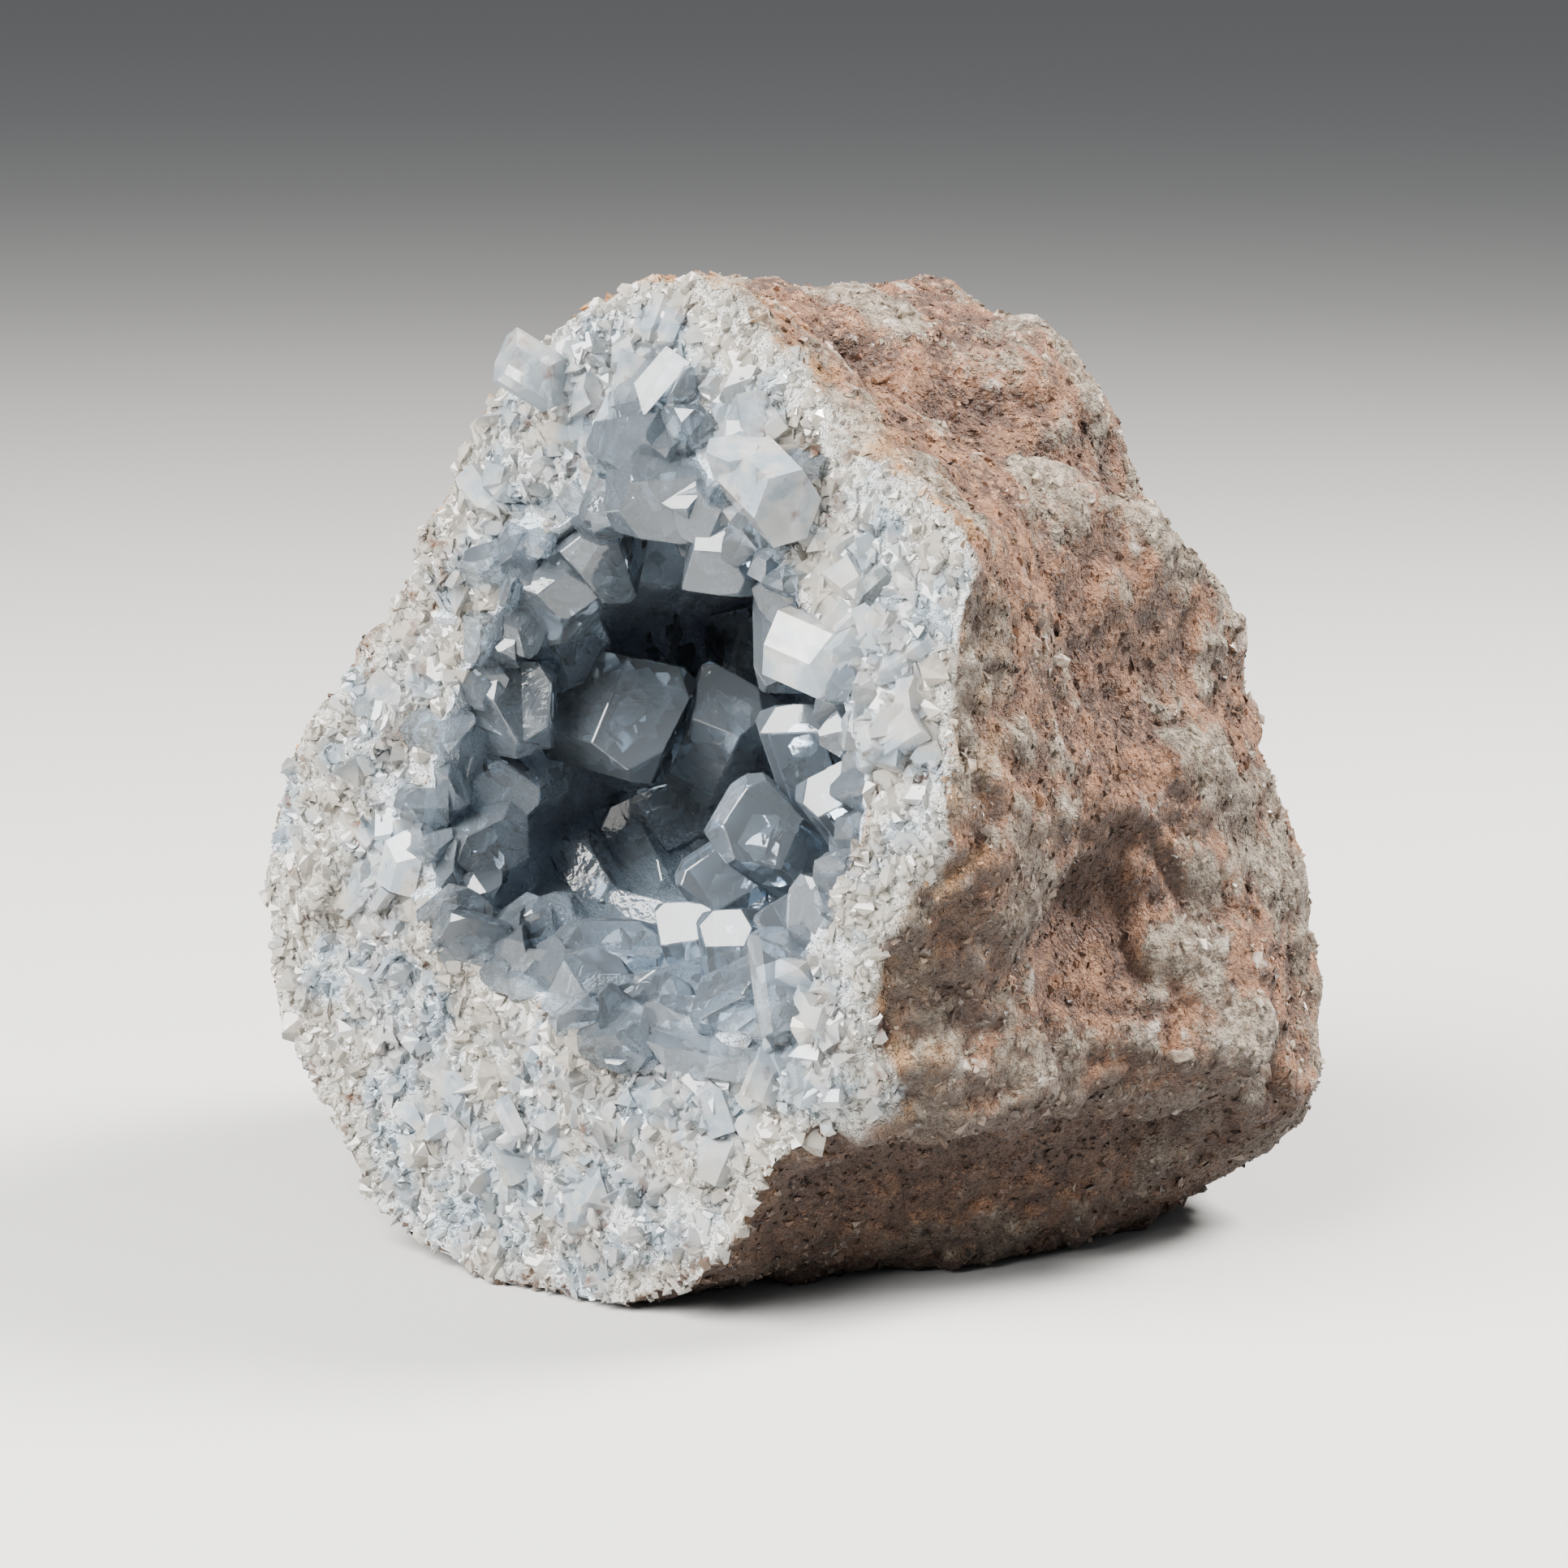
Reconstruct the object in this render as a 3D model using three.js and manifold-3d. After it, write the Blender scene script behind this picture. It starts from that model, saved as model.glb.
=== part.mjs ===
// Celestite geode: a hollow nodule broken open across its front, resting on a small flat spot.
// Millimetres, +Z up. The broken face looks along -Y, and one crust of crystals lines the hollow behind it.
// The origin is below the middle of the whole specimen, on the surface that it rests on.
import * as THREE from "three";
import { ImprovedNoise } from "three/addons/math/ImprovedNoise.js";
import { mergeVertices } from "three/addons/utils/BufferGeometryUtils.js";
import Module from "manifold-3d";

const wasm = await Module();
wasm.setup();

// Driving dimensions of the nodule: where its face, widest section and back lie, and how they lean.
const FACE_Y = -36;
const FACE_LEAN = THREE.MathUtils.degToRad(8);
const GIRTH_Y = 12;
const BACK_Y = 43;
const BACK_LEAN = THREE.MathUtils.degToRad(-9);
const BACK_SQUARENESS = 2.8;
const FACE_CENTRE = new THREE.Vector2(12, 57);
const GIRTH_CENTRE = new THREE.Vector2(5, 50);
const CORE = new THREE.Vector3(5, 0, 50);

// Radii in the XZ plane at equal steps from +X towards +Z: the broken face's rim, the widest section
// behind it, and the mouth of the hollow.
const RIM = [39, 39, 46, 43, 39, 44, 49, 48, 46, 43, 40, 41, 50, 58, 61, 61, 63, 59, 57, 53, 44, 40, 37, 37];
const GIRTH = [43, 42, 46, 53, 48, 47, 48, 51, 53, 53, 60, 55];
const MOUTH = [29, 25, 26, 28, 28, 27, 30, 34, 30, 27, 28, 29];

// Swellings (rise above 0) and dents (below 0) of the skin. One with a second end is a ridge or a groove.
const LUMPS = [
  { name: "clay dent", at: [51, -8, 38], reach: 12, rise: -9 },
  { name: "brow over the dent", at: [50, -26, 50], to: [51, 12, 55], reach: 7, rise: 3 },
  { name: "ridge under the dent", at: [40, -30, 26], to: [52, 16, 21], reach: 7, rise: 5 },
  { name: "undercut", at: [36, -30, 11], to: [50, 6, 11], reach: 9, rise: -7 },
  { name: "low knob", at: [48, 30, 16], reach: 9, rise: 5 },
  { name: "low notch", at: [50, 26, 25], reach: 6, rise: -4 },
  { name: "shoulder knob", at: [29, 18, 94], reach: 11, rise: 4 },
  { name: "shoulder groove", at: [22, -10, 98], to: [38, 26, 80], reach: 7, rise: -6 },
  { name: "shoulder ridge", at: [27, -20, 90], to: [42, 20, 74], reach: 7, rise: 4 },
  { name: "top saddle", at: [14, -14, 106], reach: 7, rise: -2 },
  { name: "flank groove", at: [46, -4, 70], to: [48, 22, 62], reach: 7, rise: -2 },
  { name: "back dent", at: [-12, 42, 62], reach: 16, rise: -5 },
  { name: "back knob", at: [22, 42, 40], reach: 14, rise: 4 },
  { name: "left ridge", at: [-42, -20, 62], to: [-34, 24, 34], reach: 8, rise: 3 },
  { name: "left dent", at: [-40, 12, 66], reach: 11, rise: -4 },
];

// Roughness that runs over the whole skin and the broken face: size and height of its bumps.
const SKIN_ROUGHNESS = [
  { size: 17, rise: 2.6 },
  { size: 8, rise: 1.6 },
];
const FACE_ROUGHNESS = [
  { size: 13, rise: 2.4 },
  { size: 6, rise: 1.4 },
];

// The hollow, the lining that joins its crystals, and the seam between that crust and the rock.
const HOLLOW_DEPTH = 50;
const HOLLOW_SQUARENESS = 2.5;
const HOLLOW_FRONT = 14;
const HOLLOW_DRIFT = -10;
const LINING = 2.2;
const LINING_START = 4;
const SEAM = 0.3;

// The largest crystals, each by the middle of its chisel edge, the ways that it points and that the edge
// runs, and its width along the edge and thickness across it.
const CRYSTAL_LENGTH = 15;
const MAIN_CRYSTALS = [
  { name: "blade", tip: [-2, -16, 56], points: [1, 0, -0.1], edge: [-0.4, -0.5, -0.8], size: [14, 10] },
  { name: "left block", tip: [-9, -28, 71], points: [1, -0.2, 0.1], edge: [0, 0.1, 1], size: [11, 10] },
  { name: "left step", tip: [-9, -28, 59], points: [1, -0.2, 0], edge: [0.1, 0.3, 1], size: [10, 9] },
  { name: "left foot", tip: [-13, -29, 46], points: [0.8, -0.3, -0.5], edge: [0.7, 0.5, 0.5], size: [10, 8] },
  { name: "left shade", tip: [-16, -17, 50], points: [1, 0.2, -0.2], edge: [0.2, 0.4, 0.9], size: [12, 9] },
  { name: "upper left", tip: [-8, -29, 78], points: [0.8, -0.5, -0.4], edge: [0.5, 0.5, 0.7], size: [8, 6] },
  { name: "roof shade", tip: [-10, -19, 77], points: [0.6, -0.3, -0.7], edge: [0.8, 0.6, 0.3], size: [9, 8] },
  { name: "roof", tip: [15, -34, 79], points: [0.4, -0.5, -0.8], edge: [0.8, 0.6, -0.2], size: [16, 10] },
  { name: "hung block", tip: [19, -33, 74], points: [0.3, -0.5, -0.8], edge: [0.7, 0.6, 0.4], size: [8, 7] },
  { name: "far roof", tip: [-14, -6, 67], points: [0.6, -0.6, -0.6], edge: [0.8, 0.5, -0.2], size: [11, 9] },
  { name: "far right", tip: [-6, -2, 62], points: [0.5, -0.9, 0], edge: [0.1, 0.3, 0.9], size: [11, 9] },
  { name: "far blade", tip: [2, -9, 61], points: [0.6, -0.2, 0.8], edge: [0.8, 0.4, -0.4], size: [10, 9] },
  { name: "right", tip: [5, -22, 53], points: [-0.1, -0.8, 0.5], edge: [0.3, 0.5, 0.8], size: [12, 10] },
  { name: "right curl", tip: [25, -29, 63], points: [0.1, -0.5, 0.8], edge: [0.9, 0.4, 0.2], size: [8, 5] },
  { name: "frosted block", tip: [20, -32, 52], points: [0, -0.8, 0.5], edge: [0.2, 0.4, 0.9], size: [10, 9] },
  { name: "blue block", tip: [34, -34, 58], points: [0, -0.7, 0.7], edge: [0.7, 0.7, 0.2], size: [9, 7] },
  { name: "floor", tip: [-19, -14, 43], points: [0.6, -0.2, 0.8], edge: [0.8, 0.6, -0.3], size: [22, 14] },
  { name: "far floor", tip: [-13, -8, 47], points: [0.4, -0.6, 0.6], edge: [0.6, 0.6, 0.4], size: [14, 11] },
  { name: "left sill", tip: [-12, -34, 35], points: [0.2, -0.2, 1], edge: [0.8, 0.6, -0.1], size: [14, 5] },
  { name: "right sill", tip: [2, -31, 38], points: [0.2, -0.2, 1], edge: [0.7, 0.6, 0.4], size: [15, 6] },
  { name: "sill block", tip: [12, -30, 41], points: [0.1, -0.5, 0.9], edge: [0.9, 0.3, 0.1], size: [8, 7] },
  { name: "sill wedge", tip: [21, -34, 42], points: [0.1, -0.3, 1], edge: [0.9, 0.5, 0], size: [7, 6] },
  { name: "sill right", tip: [30, -35, 45], points: [0, -0.6, 0.8], edge: [0.7, 0.7, 0.2], size: [9, 9] },
  { name: "right low", tip: [14, -29, 46], points: [0.1, -0.7, 0.7], edge: [0.6, 0.6, 0.6], size: [9, 8] },
  { name: "lip block", tip: [27, -42, 34], points: [0.3, -0.9, 0.1], edge: [0.7, 0.6, 0.4], size: [9, 8] },
  { name: "lip plate", tip: [9, -37, 34], points: [0.3, -0.4, 0.9], edge: [0.8, 0.6, -0.2], size: [10, 6] },
  { name: "left pocket", tip: [-21, -31, 46], points: [0.8, -0.4, 0.3], edge: [0.1, 0.3, 1], size: [8, 7] },
  { name: "left lip", tip: [-20, -37, 41], points: [0.8, -0.6, 0.1], edge: [0.1, 0.3, 1], size: [8, 7] },
  { name: "right wall", tip: [21, -30, 72], points: [-0.4, -0.8, 0.1], edge: [0, 0.2, 1], size: [16, 7] },
];

// Proportions of a crystal, each from the first number to the second: how much of its width the broad
// sides take, how far from the tip the end faces start, and the slopes of its chisel and end faces.
const FLANK = [0.5, 0.8];
const END_START = [0.3, 0.6];
const CHISEL_SLOPE = [30, 58];
const END_SLOPE = [26, 46];
const TWIST = 0.25;

// Crystals between the main ones, in rings: on the lining at a depth, and on the broken face at a share of
// the way from the mouth to the rim. They stand out by a share of their size, and lean along Y.
const LINING_RINGS = [
  { depth: 4, spacing: 12, size: [8, 12], out: [0.25, 0.5], lean: [-0.8, -0.4] },
  { depth: 12, spacing: 18, size: [9, 13], out: [0.15, 0.5], lean: [-0.5, 0] },
  { depth: 22, spacing: 20, size: [9, 13], out: [0.15, 0.5], lean: [-0.4, 0] },
  { depth: 31, spacing: 21, size: [9, 13], out: [0.15, 0.5], lean: [-0.4, 0] },
  { depth: 40, spacing: 21, size: [9, 13], out: [0.15, 0.5], lean: [-0.4, 0] },
  { depth: 47, spacing: 24, size: [9, 13], out: [0.3, 0.7], lean: [-0.4, 0] },
];
const FACE_RINGS = [
  { share: 0.05, spacing: 12, size: [7, 11], out: [0.15, 0.35], lean: [-0.4, 0] },
  { share: 0.3, spacing: 15, size: [7, 11], out: [0.15, 0.32], lean: [-0.4, 0] },
  { share: 0.5, spacing: 17, size: [6, 10], out: [0.15, 0.3], lean: [-0.4, 0] },
  { share: 0.7, spacing: 20, size: [5, 9], out: [0.12, 0.25], lean: [-0.4, 0] },
];
const FACE_CRYSTAL_LENGTH = 4;
const FACE_STEEPNESS = 2;
const SIDE_LEAN = 0.5;
const RING_CRYSTAL_THICK = [0.6, 0.9];
const RING_JITTER = 0.8;

// Fineness of the surfaces: steps round the axis, in front of the rim or mouth, and all along the axis.
const NODULE_STEPS = { round: 52, front: 6, along: 26 };
const HOLLOW_STEPS = { round: 28, front: 2, along: 9 };

// Corners nearer than this are one, and seeds make the random sizes and places the same in every build.
const WELD = 1e-4;
const LINING_SEED = 97;
const FACE_SEED = 211;
const SEED_STEP = 1000;

const TURN = 2 * Math.PI;
const noise = new ImprovedNoise();

// Radius at an angle, on the smooth closed curve through radii at equal steps of a full turn.
function radiusAt(radii, angle) {
  const place = THREE.MathUtils.euclideanModulo(angle / TURN, 1) * radii.length;
  const i = Math.floor(place);
  const f = place - i;
  const [a, b, c, d] = [-1, 0, 1, 2].map((k) => radii[(i + k + radii.length) % radii.length]);
  return b + 0.5 * f * (c - a + f * (2 * a - 5 * b + 4 * c - d + f * (3 * (b - c) + d - a)));
}

// The point (x, z) at an angle and a distance from a centre.
function aroundCentre(centre, angle, distance) {
  return new THREE.Vector2(Math.cos(angle), Math.sin(angle)).multiplyScalar(distance).add(centre);
}

function roughness(layers, point) {
  return layers.reduce((sum, { size, rise }) => {
    const q = point.clone().divideScalar(size);
    return sum + rise * noise.noise(q.x, q.y, q.z);
  }, 0);
}

function lumpsAt(point) {
  return LUMPS.reduce((sum, { at, to = at, reach, rise }) => {
    const line = new THREE.Line3(new THREE.Vector3(...at), new THREE.Vector3(...to));
    const nearest = to === at ? line.start : line.closestPointToPoint(point, true, new THREE.Vector3());
    return sum + rise * Math.exp(-nearest.distanceToSquared(point) / (reach * reach));
  }, 0);
}

// The leaning plane of the broken face at a height, and the rough face itself at a point (x, z).
function facePlaneY(z) {
  return FACE_Y + Math.tan(FACE_LEAN) * (z - FACE_CENTRE.y);
}

function faceY(p) {
  return facePlaneY(p.y) + roughness(FACE_ROUGHNESS, new THREE.Vector3(p.x, 0, p.y));
}

// The nodule's surface: share 0 to 1 runs from the middle of the broken face over its rim to the back.
function nodulePoint(angle, share) {
  const rimShare = NODULE_STEPS.front / NODULE_STEPS.along;
  const rim = aroundCentre(FACE_CENTRE, angle, radiusAt(RIM, angle));
  if (share <= rimShare) {
    const p = FACE_CENTRE.clone().lerp(rim, share / rimShare);
    return new THREE.Vector3(p.x, faceY(p), p.y);
  }
  const girthShare = (1 + rimShare) / 2;
  const girth = aroundCentre(GIRTH_CENTRE, angle, radiusAt(GIRTH, angle));
  const point = new THREE.Vector3();
  if (share < girthShare) {
    const way = (share - rimShare) / (girthShare - rimShare);
    const p = rim.clone().lerp(girth, Math.sin((way * Math.PI) / 2));
    point.set(p.x, THREE.MathUtils.lerp(faceY(rim), GIRTH_Y, way), p.y);
  } else {
    const turn = (((share - girthShare) / (1 - girthShare)) * Math.PI) / 2;
    const power = 2 / BACK_SQUARENESS;
    const p = GIRTH_CENTRE.clone().lerp(girth, Math.max(Math.cos(turn), 0) ** power);
    const lean = Math.tan(BACK_LEAN) * (p.y - GIRTH_CENTRE.y) * Math.sin(turn);
    point.set(p.x, THREE.MathUtils.lerp(GIRTH_Y, BACK_Y, Math.sin(turn) ** power) + lean, p.y);
  }
  const outwards = point.clone().sub(CORE).normalize();
  return point.addScaledVector(outwards, lumpsAt(point) + roughness(SKIN_ROUGHNESS, point));
}

// The hollow's surface behind the mouth, drawn in by an inset: the turn runs from 0 to a quarter circle.
function hollowPoint(angle, turn, inset) {
  const power = 2 / HOLLOW_SQUARENESS;
  const radius = (radiusAt(MOUTH, angle) - inset) * Math.max(Math.cos(turn), 0) ** power;
  const p = aroundCentre(FACE_CENTRE, angle, radius);
  const inside = Math.sin(turn) ** power;
  const depth = (HOLLOW_DEPTH - inset) * inside;
  return new THREE.Vector3(p.x + HOLLOW_DRIFT * inside, facePlaneY(p.y) + depth, p.y);
}

// A closed surface from a function of the angle round the axis and the share of the way along it.
function wrappedSolid(pointAt, steps) {
  const geometry = new THREE.SphereGeometry(1, steps.round, steps.along);
  const { position, uv } = geometry.attributes;
  for (let i = 0; i < position.count; i++) {
    const column = Math.round(uv.getX(i) * steps.round) % steps.round;
    const row = Math.round((1 - uv.getY(i)) * steps.along);
    const point = pointAt((column / steps.round) * TURN, row / steps.along);
    position.setXYZ(i, point.x, point.y, point.z);
  }
  return solidOf(geometry);
}

// The hollow as a solid plug, which runs straight on in front of the mouth.
function hollowSolid(inset) {
  const mouthShare = HOLLOW_STEPS.front / HOLLOW_STEPS.along;
  return wrappedSolid((angle, share) => {
    const turn = (Math.max((share - mouthShare) / (1 - mouthShare), 0) * Math.PI) / 2;
    const point = hollowPoint(angle, turn, inset);
    if (share === 0) point.set(FACE_CENTRE.x, FACE_Y, FACE_CENTRE.y);
    if (share < mouthShare) point.y -= HOLLOW_FRONT;
    return point;
  }, HOLLOW_STEPS);
}

function solidOf(geometry) {
  geometry.deleteAttribute("normal");
  geometry.deleteAttribute("uv");
  const merged = mergeVertices(geometry, WELD);
  return new wasm.Manifold(
    new wasm.Mesh({
      numProp: 3,
      vertProperties: new Float32Array(merged.attributes.position.array),
      triVerts: new Uint32Array(merged.index.array),
    }),
  );
}

function geometryOf(solid) {
  const mesh = solid.getMesh();
  return new THREE.BufferGeometry()
    .setAttribute("position", new THREE.BufferAttribute(new Float32Array(mesh.vertProperties), 3))
    .setIndex(new THREE.BufferAttribute(new Uint32Array(mesh.triVerts), 1));
}

// A repeatable run of random numbers, each between the two that it is given.
function randomRun(seed) {
  let next = seed * SEED_STEP;
  return (low, high) => THREE.MathUtils.lerp(low, high, THREE.MathUtils.seededRandom(next++));
}

// A celestite crystal: a six-sided block that runs down from its tip at the origin. Two broad faces meet
// there in a chisel edge along X, and two smaller ones cut off the ends of that edge.
function crystalSolid(wide, thick, long, random) {
  const [w, t] = [wide / 2, thick / 2];
  const flank = w * random(...FLANK);
  const outline = [[w, 0], [flank, t], [-flank, t], [-w, 0], [-flank, -t], [flank, -t]];
  const shape = new THREE.Shape(outline.map(([x, y]) => new THREE.Vector2(x, y)));
  const block = new THREE.ExtrudeGeometry(shape, { depth: long, bevelEnabled: false });
  const cuts = [0, 1, 2, 3].map((side) => {
    const chisel = side % 2 === 1;
    const slope = THREE.MathUtils.degToRad(random(...(chisel ? CHISEL_SLOPE : END_SLOPE)));
    const turn = (side * Math.PI) / 2 + random(-TWIST, TWIST);
    const outwards = new THREE.Vector3().setFromSphericalCoords(1, slope, Math.PI / 2 - turn);
    const away = chisel ? 0 : w * random(...END_START) * Math.sin(slope);
    return { inwards: [-outwards.x, -outwards.z, -outwards.y], away };
  });
  const uncut = solidOf(block.translate(0, 0, -long));
  return cuts.reduce((solid, { inwards, away }) => solid.trimByPlane(inwards, -away), uncut);
}

// Turns a crystal to the way that it points, with its edge as near as can be to the given way.
function placedCrystal(solid, tip, points, edge) {
  const up = points.clone().normalize();
  const across = up.clone().cross(edge).normalize();
  const along = across.clone().cross(up);
  return solid.transform(new THREE.Matrix4().makeBasis(along, across, up).setPosition(tip).toArray());
}

function mainCrystals() {
  return MAIN_CRYSTALS.map(({ tip, points, edge, size }, i) => {
    const [place, up, along] = [tip, points, edge].map((numbers) => new THREE.Vector3(...numbers));
    return placedCrystal(crystalSolid(...size, CRYSTAL_LENGTH, randomRun(i + 1)), place, up, along);
  });
}

// A ring of crystals of random size and lean round the axis. footAt gives the foot of the one at an angle
// and the way straight out from there.
function crystalRing({ spacing, size, out, lean }, radius, long, footAt, random) {
  const count = Math.round((TURN * radius) / spacing);
  return Array.from({ length: count }, (_, i) => {
    const { foot, outwards } = footAt(((i + random(0, RING_JITTER)) / count) * TURN);
    const wide = random(...size);
    const tip = foot.addScaledVector(outwards, wide * random(...out));
    const sideways = () => random(-SIDE_LEAN, SIDE_LEAN);
    const points = new THREE.Vector3(sideways(), random(...lean), sideways()).add(outwards);
    const edge = new THREE.Vector3(random(-1, 1), random(-1, 1), random(-1, 1));
    const solid = crystalSolid(wide, wide * random(...RING_CRYSTAL_THICK), long, random);
    return placedCrystal(solid, tip, points, edge);
  });
}

function liningCrystals() {
  const random = randomRun(LINING_SEED);
  return LINING_RINGS.flatMap((ring) => {
    const turn = Math.asin((ring.depth / HOLLOW_DEPTH) ** (HOLLOW_SQUARENESS / 2));
    const power = 2 / HOLLOW_SQUARENESS;
    const footAt = (angle) => {
      const radial = -(Math.cos(turn) ** (2 - power)) / radiusAt(MOUTH, angle);
      const axial = -(Math.sin(turn) ** (2 - power)) / HOLLOW_DEPTH;
      const outwards = new THREE.Vector3(Math.cos(angle) * radial, axial, Math.sin(angle) * radial);
      return { foot: hollowPoint(angle, turn, LINING), outwards: outwards.normalize() };
    };
    const radius = MOUTH[0] * Math.cos(turn) ** power;
    return crystalRing(ring, radius, CRYSTAL_LENGTH, footAt, random);
  });
}

// Crystals of the broken face lean towards the hollow.
function faceCrystals() {
  const random = randomRun(FACE_SEED);
  return FACE_RINGS.flatMap((ring) => {
    const footAt = (angle) => {
      const distance = THREE.MathUtils.lerp(radiusAt(MOUTH, angle), radiusAt(RIM, angle), ring.share);
      const p = aroundCentre(FACE_CENTRE, angle, distance);
      const outwards = new THREE.Vector3(-Math.cos(angle), -FACE_STEEPNESS, -Math.sin(angle));
      return { foot: new THREE.Vector3(p.x, faceY(p), p.y), outwards: outwards.normalize() };
    };
    const radius = THREE.MathUtils.lerp(MOUTH[0], RIM[0], ring.share);
    return crystalRing(ring, radius, FACE_CRYSTAL_LENGTH, footAt, random);
  });
}

function joined(solids) {
  return solids.reduce((sum, solid) => sum.add(solid));
}

function largestBody(solid) {
  return solid.decompose().sort((a, b) => b.volume() - a.volume())[0];
}

const nodule = wrappedSolid(nodulePoint, NODULE_STEPS);

// The crust keeps clear of the rock by the seam, also where a crystal stands out over the broken face.
// The crystals' feet end inside the lining.
const feetCut = nodule.translate([0, -SEAM, 0]).subtract(hollowSolid(SEAM + LINING / 2));
const shell = hollowSolid(SEAM).subtract(hollowSolid(SEAM + LINING));
const lining = shell.intersect(nodule.translate([0, LINING_START, 0]));
const crystals = joined([...mainCrystals(), ...liningCrystals()]).subtract(feetCut);
const crust = largestBody(crystals.add(lining));

// The rock has those crystals of the broken face that don't meet the crust.
const freeCrystals = faceCrystals().filter((solid) => solid.intersect(crust).isEmpty());
const wall = joined([nodule, ...freeCrystals]).subtract(hollowSolid(0)).trimByPlane([0, 0, 1], 0);

const geode = new THREE.Group();
function addPiece(name, solid, look) {
  const piece = new THREE.Mesh(geometryOf(solid), new THREE.MeshStandardMaterial(look));
  piece.name = name;
  geode.add(piece);
}
addPiece("rock_wall", wall, { color: 0x9a6f58, roughness: 0.9, metalness: 0 });
addPiece("crystal_crust", crust, { color: 0xa9c4d8, roughness: 0.1, metalness: 0 });

const box = new THREE.Box3().setFromObject(geode);
geode.position.set(-(box.min.x + box.max.x) / 2, -(box.min.y + box.max.y) / 2, -box.min.z);

export default geode;
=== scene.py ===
"""Celestite geode: the finish of a hollow nodule, broken open, with blue crystals in its hollow.

Lengths are metres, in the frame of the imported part: +Z up, with the broken face towards -Y.
"""
import math

import bmesh
import bpy
import numpy as np
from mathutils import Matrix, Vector, kdtree, noise
from mathutils.bvhtree import BVHTree


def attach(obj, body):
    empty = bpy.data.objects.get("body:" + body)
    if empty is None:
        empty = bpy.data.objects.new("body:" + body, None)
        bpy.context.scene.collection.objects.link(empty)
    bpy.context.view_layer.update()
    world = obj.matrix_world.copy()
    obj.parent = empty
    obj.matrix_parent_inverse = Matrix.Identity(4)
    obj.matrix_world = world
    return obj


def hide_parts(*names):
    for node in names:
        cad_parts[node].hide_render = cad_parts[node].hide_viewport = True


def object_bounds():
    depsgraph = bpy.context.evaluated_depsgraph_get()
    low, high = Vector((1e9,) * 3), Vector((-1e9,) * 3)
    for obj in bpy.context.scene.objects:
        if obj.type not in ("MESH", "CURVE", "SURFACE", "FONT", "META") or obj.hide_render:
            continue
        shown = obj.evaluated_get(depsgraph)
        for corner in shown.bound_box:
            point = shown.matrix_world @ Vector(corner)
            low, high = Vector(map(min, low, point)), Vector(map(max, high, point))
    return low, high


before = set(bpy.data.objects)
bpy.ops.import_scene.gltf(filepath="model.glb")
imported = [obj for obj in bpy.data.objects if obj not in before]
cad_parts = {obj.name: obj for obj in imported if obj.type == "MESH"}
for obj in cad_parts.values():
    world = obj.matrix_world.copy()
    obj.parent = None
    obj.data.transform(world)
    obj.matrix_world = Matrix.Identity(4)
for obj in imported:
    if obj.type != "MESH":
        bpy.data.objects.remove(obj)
cad_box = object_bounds()

MM = 0.001
WELD = 0.002 * MM

# The view: the camera circles the target, and sees a square picture.
CAMERA_TARGET = Vector((-5.7, -1.5, 48)) * MM
CAMERA_DISTANCE = 483 * MM
CAMERA_AZIMUTH = math.radians(40)
CAMERA_ELEVATION = math.radians(10)
CAMERA_LENS = 100
CAMERA_SENSOR = 36

# The leaning plane of the broken face, through the middle of the hollow's mouth.
FACE_CENTRE = Vector((6.3, -37.5, 57)) * MM
FACE_LEAN = math.radians(8)
FACE_NORMAL = Vector((0, -math.cos(FACE_LEAN), math.sin(FACE_LEAN)))
MOUTH_RADIUS = 37 * MM
MOUTH_LIP = 0.5 * MM
HOLLOW_DEPTH = 54 * MM

# The rock's skin: its even faces, and where the broken face ends and the weathered rind begins.
ROCK_FACE_SIZE = 0.82 * MM
RIM_DEPTH = 7 * MM
RIM_TURN = 0.5
RIM_RAGGEDNESS = 0.22
RIM_BLUR = 0.08
RIM_SMOOTHING = 14
RIM_BAND = 6 * MM
CRUST_NEAR = 1.2 * MM
CRUST_FAR = 3.0 * MM
SEAM_OVERLAP = 0.6 * MM
RIND_SMOOTHING = 16
RIDGE_SMOOTHING = 26
RIDGE_HEIGHT = 0.45 * MM
SWELL_SMOOTHING = 320
SWELL_HEIGHT = 1.6 * MM

# Thin cracks inside the crystals.
CRACK_TRIES = 1100
CRACK_ROOM = 1.1 * MM
CRACK_RADIUS = 4.5 * MM
CRACK_THINNESS = 0.03

# The floor: flat in the middle, and a little higher at its far edge.
FLOOR_FLAT = 0.7
FLOOR_RADIUS = 9.0
FLOOR_RISE = 0.8
FLOOR_RINGS = 12
FLOOR_SIDES = 72

SEED = 20


def srgb(red, green, blue):
    """A colour given as 0 to 255 in a picture, as the linear colour that a shader takes."""
    shares = np.array((red, green, blue)) / 255
    linear = np.where(shares <= 0.04045, shares / 12.92, ((shares + 0.055) / 1.055) ** 2.4)
    return (*linear.tolist(), 1.0)


CLAY = srgb(134, 93, 66)
CLAY_LIGHT = srgb(170, 127, 96)
# Darker clay in random patches, and painted shade in the crevices and dents.
DARK_CLAY_AND_PAINTED_SHADE = srgb(70, 47, 36)
# Painted shade on the rock's undersides, darkest where the surface faces straight down.
UNDERSIDE_SHADE = srgb(50, 35, 27)
STONE = srgb(154, 145, 129)
STONE_DARK = srgb(90, 81, 69)
CHALK = srgb(206, 197, 187)
OCHRE = srgb(150, 108, 62)
RUST = srgb(134, 78, 42)
BROKEN_WHITE = srgb(240, 241, 240)
BROKEN_CREAM = srgb(230, 222, 208)
BROKEN_BLUE = srgb(196, 213, 226)
# Grey of some grains, and painted shade in the gaps between the broken face's grains.
BROKEN_GREY = srgb(142, 150, 152)
LINING_BLUE = srgb(206, 218, 228)
CRYSTAL_BODY = srgb(222, 236, 248)
CRYSTAL_TINT = srgb(164, 204, 242)
FLOOR_PALE = srgb(196, 195, 193)


# Mesh helpers

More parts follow.
